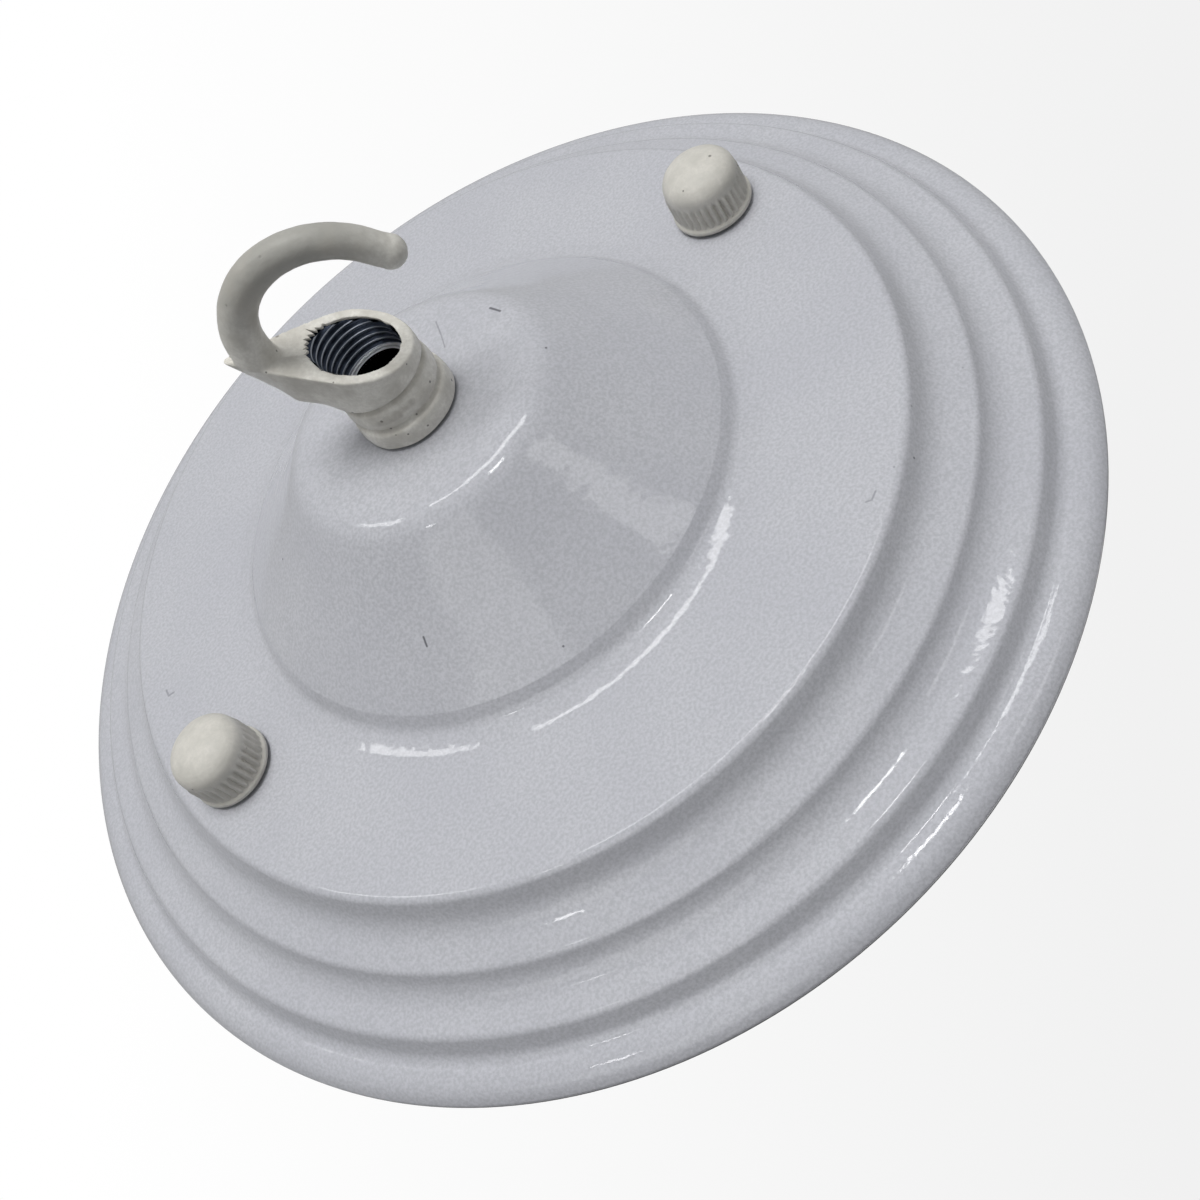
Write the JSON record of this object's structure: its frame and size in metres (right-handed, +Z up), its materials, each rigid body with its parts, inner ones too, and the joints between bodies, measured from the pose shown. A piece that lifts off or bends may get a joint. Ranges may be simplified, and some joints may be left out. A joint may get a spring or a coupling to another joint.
{
  "type": "electrical ceiling rose",
  "caption": "Round stepped ceiling rose for a pendant lamp, with a cast hook below, knurled cap nuts and a hidden strap bracket with terminals.",
  "frame": {"origin": "centre of the ceiling face, midway between the two fixing slots of the strap bracket", "axes": "+Z up into the ceiling, X along the strap bracket through the two knurled cap nuts, hook towards -Z"},
  "size_m": [0.15, 0.15, 0.0603],
  "materials": {
    "canopy_paint": "gloss white paint on pressed steel",
    "hook_paint": "satin white paint on a casting, chipped at the tapped hole",
    "nut_paint": "satin white paint, ribbed",
    "plated_steel": "bright zinc plate",
    "brass": "plain turned brass",
    "terminal_plastic": "plain moulded off-white"
  },
  "bodies": {
    "rose": {"canopy": "canopy_paint", "hook": "hook_paint", "nipple": "plated_steel", "lock_washer": "plated_steel", "nipple_nut": "plated_steel", "strap_bracket": "plated_steel", "stud_screws": "plated_steel", "stud_lock_nuts": "plated_steel", "clamp_screws": "plated_steel", "block_screws": "plated_steel", "earth_washer": "brass", "earth_screw": "brass", "terminal_tubes": "brass", "terminal_block": "terminal_plastic"},
    "right_cap_nut": {"cap_nut_right": "nut_paint"},
    "left_cap_nut": {"cap_nut_left": "nut_paint"}
  },
  "joints": [
    {"name": "right_nut_turn", "type": "hinge", "parent": "rose", "child": "right_cap_nut", "pos_m": [0.048, 0, -0.01425], "axis": [0, 0, -1], "range_deg": [0, 2570]},
    {"name": "left_nut_turn", "type": "hinge", "parent": "rose", "child": "left_cap_nut", "pos_m": [-0.048, 0, -0.01425], "axis": [0, 0, -1], "range_deg": [0, 2570]}
  ]
}
